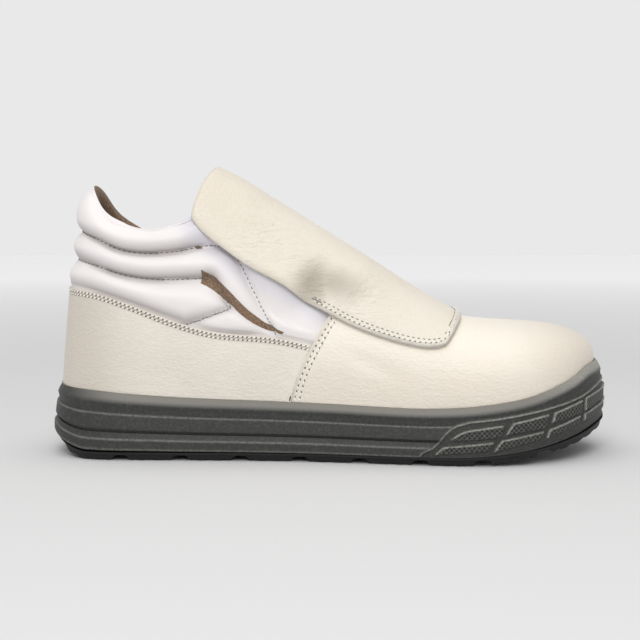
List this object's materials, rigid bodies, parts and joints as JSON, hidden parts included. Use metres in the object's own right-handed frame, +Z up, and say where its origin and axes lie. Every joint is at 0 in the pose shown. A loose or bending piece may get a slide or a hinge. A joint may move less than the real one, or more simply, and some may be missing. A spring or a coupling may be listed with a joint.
{
  "type": "slip-on safety shoe",
  "caption": "White ankle-high slip-on safety shoe with quilted collar, instep flap and grey cup sole with a toe bumper, for the right foot.",
  "frame": {"origin": "floor level under the middle of the sole's length and width", "axes": "+X towards the toe, +Y towards the inner side of the foot, +Z up"},
  "size_m": [0.3088, 0.108, 0.1579],
  "materials": {
    "tread": "matt, dense polyurethane tread",
    "cup_sole": "matt, moulded foamed polyurethane",
    "footbed_textile": "brushed textile over foam",
    "collar_skin": "smooth white coated microfibre over foam, textile lining",
    "panel_microfibre": "fine-grained coated microfibre",
    "vamp_microfibre": "fine-grained coated microfibre",
    "flap_microfibre": "fine-grained coated microfibre"
  },
  "bodies": {
    "root": {"outsole": "tread", "midsole": "cup_sole", "insole": "footbed_textile", "upper": "collar_skin", "quarter_panel": "panel_microfibre", "vamp": "vamp_microfibre", "flap": "flap_microfibre"}
  },
  "joints": []
}
